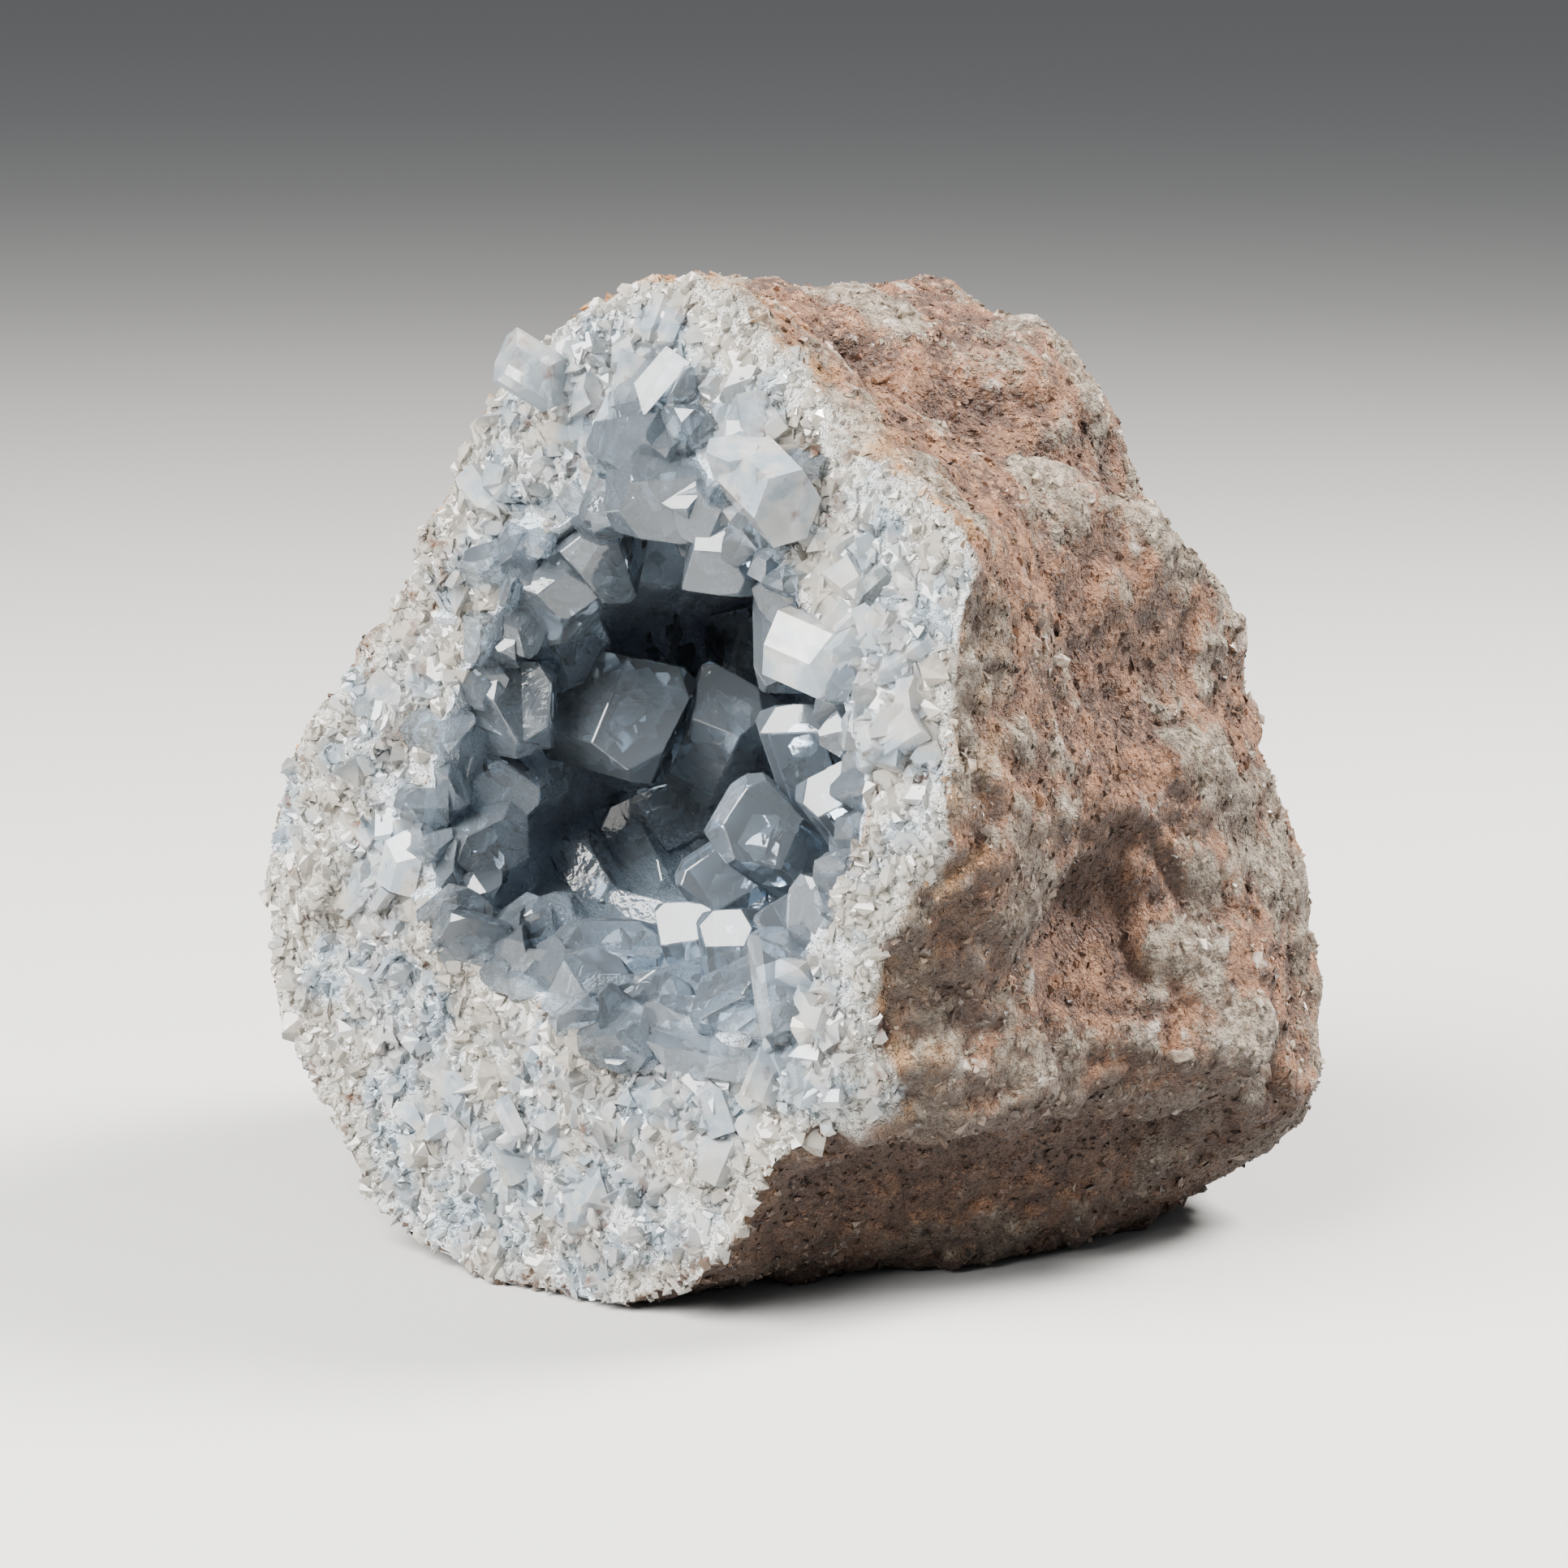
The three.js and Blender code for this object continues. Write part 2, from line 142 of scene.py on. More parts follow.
def merged_copy(node):
    """A node's solid as a bmesh, with its loose triangles joined up."""
    shape = bmesh.new()
    shape.from_mesh(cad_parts[node].data)
    bmesh.ops.remove_doubles(shape, verts=shape.verts, dist=WELD)
    return shape


def mesh_of(shape, name):
    mesh = bpy.data.meshes.new(name)
    shape.to_mesh(mesh)
    shape.free()
    return mesh


def new_piece(name, mesh, material):
    """An object of the geode that rides on its one body."""
    piece = bpy.data.objects.new(name, mesh)
    bpy.context.scene.collection.objects.link(piece)
    mesh.materials.clear()
    mesh.materials.append(material)
    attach(piece, "root")
    return piece


def read_points(mesh):
    points = np.empty(len(mesh.vertices) * 3, np.float32)
    mesh.vertices.foreach_get("co", points)
    return points.reshape(-1, 3).astype(float)


def read_normals(mesh):
    normals = np.empty(len(mesh.vertices) * 3, np.float32)
    mesh.vertex_normals.foreach_get("vector", normals)
    return normals.reshape(-1, 3).astype(float)


def read_edges(mesh):
    edges = np.empty(len(mesh.edges) * 2, np.int32)
    mesh.edges.foreach_get("vertices", edges)
    return edges.reshape(-1, 2)


def write_points(mesh, points):
    mesh.vertices.foreach_set("co", points.astype(np.float32).ravel())
    mesh.update()


def write_attribute(mesh, name, values):
    attribute = mesh.attributes.new(name, "FLOAT", "POINT")
    attribute.data.foreach_set("value", np.asarray(values, np.float32))


def read_attribute(mesh, name):
    values = np.empty(len(mesh.vertices), np.float32)
    mesh.attributes[name].data.foreach_get("value", values)
    return values


def unit(vectors):
    return vectors / np.maximum(np.linalg.norm(vectors, axis=1, keepdims=True), 1e-12)


def step_between(low, high, values):
    """0 at low, 1 at high, with a smooth ramp between; low may be the larger."""
    share = np.clip((values - low) / (high - low), 0, 1)
    return share * share * (3 - 2 * share)


def relaxed(values, edges, rounds):
    """Values at the vertices after each is drawn to the mean of its neighbours, round by round."""
    values = values.reshape(len(values), -1)
    a, b = edges.T
    neighbours = np.bincount(edges.ravel(), minlength=len(values))[:, None]
    for _ in range(rounds):
        total = np.stack([
            np.bincount(a, column[b], len(column)) + np.bincount(b, column[a], len(column))
            for column in values.T
        ], axis=1)
        values = (values + total / np.maximum(neighbours, 1)) / 2
    return values


def standing_out(points, normals, edges, rounds):
    """How far the points stand out of the surface that is left when they are relaxed."""
    return np.einsum("ij,ij->i", points - relaxed(points, edges, rounds), normals)


def noise_at(points, size):
    """Smooth noise from about -1 to 1 with bumps of a size."""
    return np.array([noise.noise(Vector(p) / size) for p in points])


def rough_noise_at(points, size, octaves):
    """Noise with finer bumps on the coarse ones."""
    return np.array([noise.fractal(Vector(p) / size, 1.0, 2.0, octaves) for p in points])


def facets_at(points, size):
    """Heights of flat planes that lean at random, one in each cell of a size: a broken, grainy surface."""
    heights = np.empty(len(points))
    for i, p in enumerate(points):
        q = Vector(p) / size
        cell = noise.voronoi(q)[1][0]
        heights[i] = (q - cell).dot(noise.noise_vector(cell * 13.7)) + 0.5 * noise.noise(cell * 7.1)
    return heights


def distance_to(points, spots):
    """How far each point lies from the nearest of some spots."""
    tree = kdtree.KDTree(len(spots))
    for i, spot in enumerate(spots):
        tree.insert(Vector(spot), i)
    tree.balance()
    return np.array([tree.find(Vector(p))[2] for p in points])


def kept_in_box(points):
    return np.clip(points, np.array(cad_box[0]), np.array(cad_box[1]))


def behind_face(points):
    """How far points lie behind the plane of the broken face."""
    return -(points - np.array(FACE_CENTRE)) @ np.array(FACE_NORMAL)


def across_axis(points):
    """The way to points from the line through the middle of the broken face, straight into the hollow."""
    across = points - np.array(FACE_CENTRE)
    return across - np.outer(across @ np.array(FACE_NORMAL), np.array(FACE_NORMAL))


# Rock

def evenly_meshed(mesh):
    """The mesh of a solid cut anew into small even faces."""
    block = bpy.data.objects.new("block", mesh)
    bpy.context.scene.collection.objects.link(block)
    remesh = block.modifiers.new("even_faces", "REMESH")
    remesh.mode = "VOXEL"
    remesh.voxel_size = ROCK_FACE_SIZE
    ready = block.evaluated_get(bpy.context.evaluated_depsgraph_get())
    even = bpy.data.meshes.new_from_object(ready)
    bpy.data.objects.remove(block)
    return even


def rock_regions(mesh, crust):
    """Shares of the broken face and of the hollow's wall at the rock's vertices."""
    points = read_points(mesh)
    normals = read_normals(mesh)
    facing = relaxed(normals @ np.array(FACE_NORMAL), read_edges(mesh), RIM_SMOOTHING)[:, 0]
    ragged = noise_at(points, 8 * MM) + 0.6 * noise_at(points, 3 * MM)
    edge = RIM_TURN + RIM_RAGGEDNESS * ragged
    behind = behind_face(points)
    face = step_between(edge - RIM_BLUR, edge + RIM_BLUR, facing)
    face *= step_between(RIM_DEPTH, 0.8 * RIM_DEPTH, behind)
    gaps = np.array([crust.find_nearest(Vector(p))[3] for p in points])
    across = across_axis(points)
    faces_axis = facing - np.einsum("ij,ij->i", unit(across), normals) > 0.3
    inside = (np.linalg.norm(across, axis=1) < MOUTH_RADIUS) & (behind > MOUTH_LIP) & (behind < HOLLOW_DEPTH)
    hollow = np.maximum(step_between(CRUST_FAR, CRUST_NEAR, gaps), inside & faces_axis)
    return face * (1 - hollow), hollow


def smooth_rind(mesh, rind):
    """Takes the solid's large flat faces off the rind."""
    shape = bmesh.new()
    shape.from_mesh(mesh)
    skin = [v for v, share in zip(shape.verts, rind) if share > 0.5]
    for _ in range(RIND_SMOOTHING):
        bmesh.ops.smooth_vert(
            shape, verts=skin, factor=0.5, use_axis_x=True, use_axis_y=True, use_axis_z=True,
        )
    shape.to_mesh(mesh)
    shape.free()


def rock_mesh(crust):
    mesh = evenly_meshed(mesh_of(merged_copy("rock_wall"), "rock"))
    mesh.name = "rock"
    face, hollow = rock_regions(mesh, crust)
    rind = 1 - np.clip(face + hollow, 0, 1)
    smooth_rind(mesh, rind)

    points = read_points(mesh)
    normals = read_normals(mesh)
    edges = read_edges(mesh)
    knobs = 1.0 * MM * rough_noise_at(points, 12 * MM, 3)
    clods = 1.6 * MM * np.abs(noise_at(points, 6.5 * MM)) + 1.0 * MM * np.abs(noise_at(points, 2.7 * MM))
    grit = facets_at(points, 2.6 * MM)
    breaks = 1.1 * MM * facets_at(points, 4.6 * MM) + 0.5 * MM * grit
    rise = rind * (knobs + clods + 0.35 * MM * grit - 0.9 * MM) + face * (breaks - 0.8 * MM)
    rise += hollow * (SEAM_OVERLAP + 0.3 * MM * grit)
    points = kept_in_box(points + normals * rise[:, None])
    write_points(mesh, points)

    normals = read_normals(mesh)
    ridge = standing_out(points, normals, edges, RIDGE_SMOOTHING) / RIDGE_HEIGHT
    swell = standing_out(points, normals, edges, SWELL_SMOOTHING) / SWELL_HEIGHT
    rim = distance_to(points, points[(rind > 0.3) & (rind < 0.7) & (hollow < 0.1)])
    mouth = distance_to(points, points[(hollow > 0.3) & (hollow < 0.7)])
    write_attribute(mesh, "face", face)
    write_attribute(mesh, "hollow", hollow)
    write_attribute(mesh, "ridge", np.clip(ridge, -1, 1))
    write_attribute(mesh, "swell", np.clip(swell, -1, 1))
    # under: how far the surface turns down, which sets the painted shade on the undersides.
    write_attribute(mesh, "under", step_between(0.45, -0.4, normals[:, 2]))
    write_attribute(mesh, "rim", np.exp(-rim / RIM_BAND))
    write_attribute(mesh, "outwards", mouth / (mouth + rim))
    mesh.shade_smooth()
    mesh.set_sharp_from_angle(angle=math.radians(40))
    return mesh


# Crystals and grains

def crystal_mesh(crust):
    """The crust's solid with whole flat faces, narrow bevels on its edges, and thin cracks inside."""
    shape = merged_copy("crystal_crust")
    bmesh.ops.dissolve_limit(
        shape, angle_limit=math.radians(1), verts=shape.verts, edges=shape.edges,
    )
    sharp = [e for e in shape.edges if e.is_manifold and e.is_convex and e.calc_face_angle() > 0.3]
    bmesh.ops.bevel(
        shape, geom=sharp, offset=0.1 * MM, offset_type="OFFSET", affect="EDGES", segments=1,
        profile=0.5, material=-1, clamp_overlap=False,
    )
    cracks = crack_mesh(crust)
    shape.from_mesh(cracks)
    bpy.data.meshes.remove(cracks)
    return mesh_of(shape, "hollow_crystals")


def crack_mesh(crust):
    """Thin flat gaps inside the crystals, with their faces turned inwards as a hollow's are."""
    random = np.random.default_rng(SEED + 3)
    solid = merged_copy("crystal_crust")
    faces = solid.faces[:]
    areas = np.array([f.calc_area() for f in faces])
    places, widths, axes = [], [], []
    for pick in random.choice(len(faces), CRACK_TRIES, p=areas / areas.sum()):
        foot = faces[pick].calc_center_median()
        inwards = -faces[pick].normal
        depth = crust.ray_cast(foot + inwards * WELD, inwards)[3]
        if depth is None:
            continue
        place = foot + inwards * depth * random.uniform(0.25, 0.75)
        room = crust.find_nearest(place)[3]
        if room < CRACK_ROOM:
            continue
        places.append(place)
        widths.append(min(room * 0.95, CRACK_RADIUS))
        axes.append(Vector(random.normal(size=3)))
    solid.free()
    shapes = [crack_shape(random) for _ in range(6)]
    turns = turns_to(unit(np.array(axes)), random)
    sizes = np.outer(widths, np.ones(3))
    return joined_mesh("cracks", shapes, np.array(places), turns, sizes, {}, random)


def crack_shape(random):
    """A thin ragged lens of radius 1, turned inside out."""
    shape = bmesh.new()
    bmesh.ops.create_circle(shape, cap_ends=False, segments=9, radius=1)
    for v in shape.verts:
        v.co *= random.uniform(0.55, 1)
    for z in (-CRACK_THINNESS, CRACK_THINNESS):
        shape.verts.new((0, 0, z))
    bmesh.ops.convex_hull(shape, input=shape.verts)
    loose = [v for v in shape.verts if not v.link_faces]
    bmesh.ops.delete(shape, geom=loose, context="VERTS")
    corners, triangles = shape_arrays(shape)
    return corners, triangles[:, ::-1]


def shape_arrays(shape):
    """Corners and triangles of a bmesh."""
    bmesh.ops.triangulate(shape, faces=shape.faces)
    bmesh.ops.recalc_face_normals(shape, faces=shape.faces)
    shape.verts.index_update()
    corners = np.array([v.co for v in shape.verts])
    triangles = np.array([[v.index for v in f.verts] for f in shape.faces])
    shape.free()
    return corners, triangles


def crystal_shape(random):
    """A six-sided block with its foot at z = -1, cut to a chisel tip at the origin."""
    shape = bmesh.new()
    bmesh.ops.create_cone(shape, cap_ends=True, segments=6, radius1=0.5, radius2=0.5, depth=1)
    bmesh.ops.translate(shape, verts=shape.verts, vec=(0, 0, -0.5))
    for side in range(4):
        chisel = side % 2 == 1
        slope = math.radians(random.uniform(*((30, 58) if chisel else (26, 46))))
        turn = side * math.pi / 2 + random.uniform(-0.25, 0.25)
        outwards = Vector((math.cos(turn), math.sin(turn), 0)) * math.sin(slope)
        outwards.z = math.cos(slope)
        away = 0 if chisel else 0.5 * random.uniform(0.3, 0.6) * math.sin(slope)
        parts = shape.verts[:] + shape.edges[:] + shape.faces[:]
        cut = bmesh.ops.bisect_plane(
            shape, geom=parts, plane_co=outwards * away, plane_no=outwards, clear_outer=True,
        )
        rim = [e for e in cut["geom_cut"] if isinstance(e, bmesh.types.BMEdge)]
        bmesh.ops.edgeloop_fill(shape, edges=rim)
    return shape_arrays(shape)


def grain_shape(random, corners):
    """A rough angular grain about 1 across."""
    shape = bmesh.new()
    for spot in unit(random.normal(size=(corners, 3))):
        shape.verts.new(spot * random.uniform(0.4, 0.55))
    hull = bmesh.ops.convex_hull(shape, input=shape.verts)
    bmesh.ops.delete(shape, geom=list(set(hull["geom_interior"])), context="VERTS")
    return shape_arrays(shape)


def turns_to(axes, random):
    """Matrices that turn +Z to each axis, after a random twist about it."""
    helper = np.where(np.abs(axes[:, 2:]) < 0.9, (0, 0, 1), (1, 0, 0))
    along = unit(np.cross(helper, axes))
    across = np.cross(axes, along)
    twist = random.uniform(0, 2 * math.pi, len(axes))[:, None]
    first = along * np.cos(twist) + across * np.sin(twist)
    second = np.cross(axes, first)
    return np.stack([first, second, axes], axis=2)


def joined_mesh(name, shapes, places, turns, sizes, values, random):
    """One mesh of many small bodies, each a random one of the shapes, stretched, turned and set in place.

    values holds named numbers, one for each body, which become attributes of the mesh.
    """
    picks = random.integers(len(shapes), size=len(places))
    points, faces, owners = [], [], []
    start = 0
    for i, (corners, triangles) in enumerate(shapes):
        chosen = picks == i
        bodies = np.einsum("nij,nkj->nki", turns[chosen], corners[None] * sizes[chosen][:, None, :])
        bodies += places[chosen][:, None, :]
        ends = np.stack([bodies.min(axis=1), bodies.max(axis=1)])
        bodies += (kept_in_box(ends) - ends).sum(axis=0)[:, None, :]
        count = len(bodies)
        offsets = start + len(corners) * np.arange(count)
        points.append(bodies.reshape(-1, 3))
        faces.append((triangles[None] + offsets[:, None, None]).reshape(-1, 3))
        owners.append(np.repeat(np.flatnonzero(chosen), len(corners)))
        start += count * len(corners)
    mesh = bpy.data.meshes.new(name)
    mesh.from_pydata(np.concatenate(points).tolist(), [], np.concatenate(faces).tolist())
    owners = np.concatenate(owners)
    for key, numbers in values.items():
        write_attribute(mesh, key, numbers[owners])
    return mesh


# The rock's attributes that grains take from the place where they lie, for their finish and its painted shade
# in crevices, dents and on undersides.
GRAIN_READS = ("ridge", "swell", "under", "rim")


class Ground:
    """The rock's surface, as a place to strew grains over."""

    def __init__(self, mesh):
        count = len(mesh.polygons)
        self.centres = np.empty(count * 3, np.float32)
        self.normals = np.empty(count * 3, np.float32)
        self.areas = np.empty(count, np.float32)
        mesh.polygons.foreach_get("center", self.centres)
        mesh.polygons.foreach_get("normal", self.normals)
        mesh.polygons.foreach_get("area", self.areas)
        self.centres = self.centres.reshape(-1, 3).astype(float)
        self.normals = self.normals.reshape(-1, 3).astype(float)
        first = np.empty(count, np.int32)
        mesh.polygons.foreach_get("loop_start", first)
        corner = np.empty(len(mesh.loops), np.int32)
        mesh.loops.foreach_get("vertex_index", corner)
        names = ("face", "hollow", "outwards", *GRAIN_READS)
        self.shares = {name: read_attribute(mesh, name)[corner[first]] for name in names}

    def values_at(self, picks, random):
        """What a grain's finish reads: the ground's shares at its place, and a tone of its own."""
        values = {name: self.shares[name][picks] for name in GRAIN_READS}
        values["tone"] = random.uniform(-0.5, 0.5, len(picks))
        return values

    def strew(self, weights, per_area, random):
        """Indices of faces picked at random, with about weights * per_area picks in a unit of area."""
        chance = weights * self.areas
        picks = int(chance.sum() * per_area)
        return random.choice(len(chance), picks, p=chance / chance.sum())


def blocks(wide, random, thick, long):
    """Widths, thicknesses and lengths of bodies, the last two as random shares of the width."""
    count = len(wide)
    return np.stack([wide, wide * random.uniform(*thick, count), wide * random.uniform(*long, count)], axis=1)


def strewn_grains(name, ground, weights, per_area, wide_at, depth, shapes, thick, long, random):
    """Grains half sunk in the ground, turned at random; wide_at gives their width at the picked places."""
    picks = ground.strew(weights, per_area, random)
    count = len(picks)
    wide = wide_at(picks) * random.lognormal(0, 0.4, count)
    axes = unit(0.8 * ground.normals[picks] + random.normal(size=(count, 3)))
    places = ground.centres[picks] + ground.normals[picks] * (wide * random.uniform(*depth, count))[:, None]
    sizes = blocks(wide, random, thick, long)
    values = ground.values_at(picks, random)
    return joined_mesh(name, shapes, places, turns_to(axes, random), sizes, values, random)


def cloudy_grains(ground):
    """Interlocking grains of the broken face, fine at the rim."""
    random = np.random.default_rng(SEED + 1)
    shapes = [grain_shape(random, 9) for _ in range(12)]
    outwards = ground.shares["outwards"]
    weights = ground.shares["face"] * (0.3 + 0.7 * step_between(0.2, 0.8, outwards))
    return strewn_grains(
        "cloudy_grains", ground, weights, 1.7 / MM**2, lambda picks: (2.5 - 1.3 * outwards[picks]) * MM,
        (-0.25, 0.12), shapes, (0.6, 1), (0.7, 1.4), random,
    )


def small_crystals(name, ground, weights, per_area, wide_at, lean, stand, random):
    """Blocky clear crystals that lean over towards the hollow's mouth and stand out of the ground."""
    shapes = [crystal_shape(random) for _ in range(12)]
    picks = ground.strew(weights, per_area, random)
    count = len(picks)
    wide = wide_at(picks) * random.lognormal(0, 0.28, count)
    inwards = unit(np.array(FACE_CENTRE) - ground.centres[picks])
    axes = unit(ground.normals[picks] + lean * inwards + 0.45 * random.normal(size=(count, 3)))
    places = ground.centres[picks] + axes * (wide * random.uniform(*stand, count))[:, None]
    sizes = blocks(wide, random, (0.5, 0.9), (0.9, 1.4))
    values = ground.values_at(picks, random)
    return joined_mesh(name, shapes, places, turns_to(axes, random), sizes, values, random)


def face_crystals(ground):
    """Larger interlocking crystals of the broken face, thicker towards the mouth."""
    outwards = ground.shares["outwards"]
    weights = (ground.shares["face"] > 0.9) * step_between(0.9, 0.15, outwards)
    return small_crystals(
        "face_crystals", ground, weights, 0.5 / MM**2, lambda picks: (5.0 - 3.2 * outwards[picks]) * MM,
        0.6, (-0.05, 0.18), np.random.default_rng(SEED + 4),
    )


def mouth_crystals(ground):
    """Crystals between the large ones round the hollow's mouth."""
    weights = ground.shares["hollow"] * step_between(9 * MM, 3 * MM, behind_face(ground.centres))
    return small_crystals(
        "mouth_crystals", ground, weights, 0.09 / MM**2, lambda picks: np.full(len(picks), 5.2 * MM),
        0.3, (0.45, 0.85), np.random.default_rng(SEED + 6),
    )


def rind_patches(ground):
    """Shares of bare stone, mostly on the swells, and of clay on the rind."""
    rind = 1 - np.clip(ground.shares["face"] + ground.shares["hollow"], 0, 1)
    patches = rough_noise_at(ground.centres, 16 * MM, 3) + 0.5 * ground.shares["swell"]
    stone = step_between(-0.1, 0.4, patches)
    return rind * stone, rind * (1 - stone)


def stone_grains(ground, stone):
    """Small grains of stone that stand out of the clay in patches."""
    random = np.random.default_rng(SEED + 2)
    shapes = [grain_shape(random, 7) for _ in range(10)]
    return strewn_grains(
        "stone_grains", ground, stone, 1.10 / MM**2, lambda picks: np.full(len(picks), 0.95 * MM),
        (-0.38, 0.0), shapes, (0.6, 1), (0.7, 1.2), random,
    )


def clay_crumbs(ground, clay):
    """Crumbs of clay on the rind."""
    random = np.random.default_rng(SEED + 5)
    shapes = [grain_shape(random, 6) for _ in range(10)]
    return strewn_grains(
        "clay_crumbs", ground, clay, 1.6 / MM**2, lambda picks: np.full(len(picks), 0.8 * MM),
        (-0.35, 0.0), shapes, (0.7, 1), (0.6, 1), random,
    )


# Materials

# The colour sockets of a mix node, which share their names with its number and vector sockets.
MIX_FIRST, MIX_SECOND, MIX_RESULT = 6, 7, 2


class Finish:
    """A material with one main shader, and short calls for the nodes that feed it."""

    def __init__(self, name):
        self.material = bpy.data.materials.new(name)
        self.material.use_nodes = True
        self.tree = self.material.node_tree
        self.tree.nodes.clear()
        self.output = self.tree.nodes.new("ShaderNodeOutputMaterial")
        self.shader = self.tree.nodes.new("ShaderNodeBsdfPrincipled")
        self.tree.links.new(self.shader.outputs["BSDF"], self.output.inputs["Surface"])
        self.place = self.tree.nodes.new("ShaderNodeTexCoord").outputs["Object"]

    def node(self, kind, **values):
        made = self.tree.nodes.new(kind)
        for key, value in values.items():
            setattr(made, key, value)
        return made

    def feed(self, socket, value):
        if isinstance(value, bpy.types.NodeSocket):
            self.tree.links.new(value, socket)
        else:
            socket.default_value = value

    def set(self, **values):
        for key, value in values.items():
            self.feed(self.shader.inputs[key.replace("_", " ")], value)

    def attribute(self, name):
        return self.node("ShaderNodeAttribute", attribute_name=name).outputs["Fac"]

    def noise(self, size, detail=3.0, rough=0.5):
        made = self.node("ShaderNodeTexNoise")
        self.feed(made.inputs["Vector"], self.place)
        made.inputs["Scale"].default_value = 1 / size
        made.inputs["Detail"].default_value = detail
        made.inputs["Roughness"].default_value = rough
        return made.outputs["Fac"]

    def ramp(self, value, low, high, start=0.0, end=1.0):
        made = self.node("ShaderNodeMapRange", interpolation_type="SMOOTHSTEP")
        self.feed(made.inputs["Value"], value)
        for key, number in zip(("From Min", "From Max", "To Min", "To Max"), (low, high, start, end)):
            self.feed(made.inputs[key], number)
        return made.outputs["Result"]

    def maths(self, operation, first, second):
        made = self.node("ShaderNodeMath", operation=operation)
        self.feed(made.inputs[0], first)
        self.feed(made.inputs[1], second)
        return made.outputs["Value"]

    def mix(self, share, first, second, blend="MIX"):
        made = self.node("ShaderNodeMix", data_type="RGBA", blend_type=blend)
        self.feed(made.inputs["Factor"], share)
        self.feed(made.inputs[MIX_FIRST], first)
        self.feed(made.inputs[MIX_SECOND], second)
        return made.outputs[MIX_RESULT]

    def bump(self, height, strength, distance, before=None):
        made = self.node("ShaderNodeBump")
        made.inputs["Strength"].default_value = strength
        made.inputs["Distance"].default_value = distance
        self.feed(made.inputs["Height"], height)
        if before is not None:
            self.feed(made.inputs["Normal"], before)
        return made.outputs["Normal"]


def rind_colour(f, stone_share):
    """Clay in the dents, grey stone on the swells, chalky ridges and an ochre rim, with painted shade in the
    crevices, in the dents and on the undersides.
    """
    ridge = f.attribute("ridge")
    swell = f.attribute("swell")
    clay = f.mix(f.ramp(f.noise(5 * MM, 4, 0.65), 0.38, 0.62), DARK_CLAY_AND_PAINTED_SHADE, CLAY)
    clay = f.mix(f.ramp(f.noise(0.9 * MM, 2, 0.65), 0.48, 0.7, 0.0, 0.8), clay, CLAY_LIGHT)
    stone = f.mix(f.ramp(f.noise(1.3 * MM, 2, 0.65), 0.38, 0.62), STONE_DARK, STONE)
    patches = f.maths("ADD", f.noise(12 * MM, 5, 0.65), f.maths("MULTIPLY", swell, 0.1))
    colour = f.mix(f.ramp(patches, stone_share, stone_share + 0.12, 0.0, 0.85), clay, stone)
    streaks = f.maths("ADD", f.noise(4 * MM, 3, 0.6), f.maths("MULTIPLY", ridge, 0.14))
    colour = f.mix(f.ramp(streaks, 0.66, 0.84, 0.0, 0.6), colour, CHALK)
    stain = f.maths("MULTIPLY", f.attribute("rim"), f.ramp(f.noise(4.5 * MM, 3), 0.42, 0.64))
    colour = f.mix(stain, colour, OCHRE)
    # Painted shade in the crevices, where the surface lies below its neighbours.
    colour = f.mix(f.ramp(ridge, -1.0, 0.0, 0.8, 0.0), colour, DARK_CLAY_AND_PAINTED_SHADE)
    # Painted shade in the dents.
    colour = f.mix(f.ramp(swell, -1.0, 0.1, 0.5, 0.0), colour, DARK_CLAY_AND_PAINTED_SHADE)
    # Painted shade, darker the more the surface faces down.
    colour = f.mix(f.maths("MULTIPLY", f.attribute("under"), 0.85), colour, UNDERSIDE_SHADE)
    return f.mix(0.6, colour, f.ramp(f.attribute("tone"), -0.5, 0.5), "SOFT_LIGHT")


def broken_colour(f):
    """White, cream and pale blue, with grey grains and specks of rust that are thickest by the rim."""
    rim = f.attribute("rim")
    colour = f.mix(f.ramp(f.noise(4 * MM, 3, 0.6), 0.4, 0.6), BROKEN_WHITE, BROKEN_BLUE)
    colour = f.mix(f.ramp(f.attribute("tone"), 0.2, 0.5), colour, BROKEN_GREY)
    cream = f.maths("ADD", f.noise(9 * MM, 3), f.maths("MULTIPLY", rim, 0.2))
    colour = f.mix(f.ramp(cream, 0.52, 0.7, 0.0, 0.9), colour, BROKEN_CREAM)
    specks = f.maths("ADD", f.noise(2.2 * MM, 3), f.maths("MULTIPLY", rim, 0.1))
    specks = f.maths("MULTIPLY", f.ramp(specks, 0.6, 0.78, 0.0, 0.8), f.ramp(f.noise(13 * MM, 1), 0.42, 0.6))
    return f.mix(specks, colour, RUST)


def rock_finish():
    """Weathered clay and stone on the rind, white and pale blue on the broken face and in the hollow, the
    face half grey under its grains as painted shade in the gaps.
    """
    f = Finish("geode_rock")
    # The broken face under its grains is half grey: painted shade in the gaps between the grains.
    broken = f.mix(0.5, broken_colour(f), BROKEN_GREY)
    colour = f.mix(f.attribute("face"), rind_colour(f, 0.52), broken)
    colour = f.mix(f.attribute("hollow"), colour, LINING_BLUE)
    coarse = f.bump(f.noise(2 * MM, 4, 0.7), 1.0, 1.2 * MM)
    f.set(Base_Color=colour, Roughness=f.ramp(f.noise(0.6 * MM), 0.3, 0.7, 0.95, 0.6))
    f.set(Normal=f.bump(f.noise(0.5 * MM, 2, 0.6), 1.0, 0.4 * MM, coarse))
    return f.material


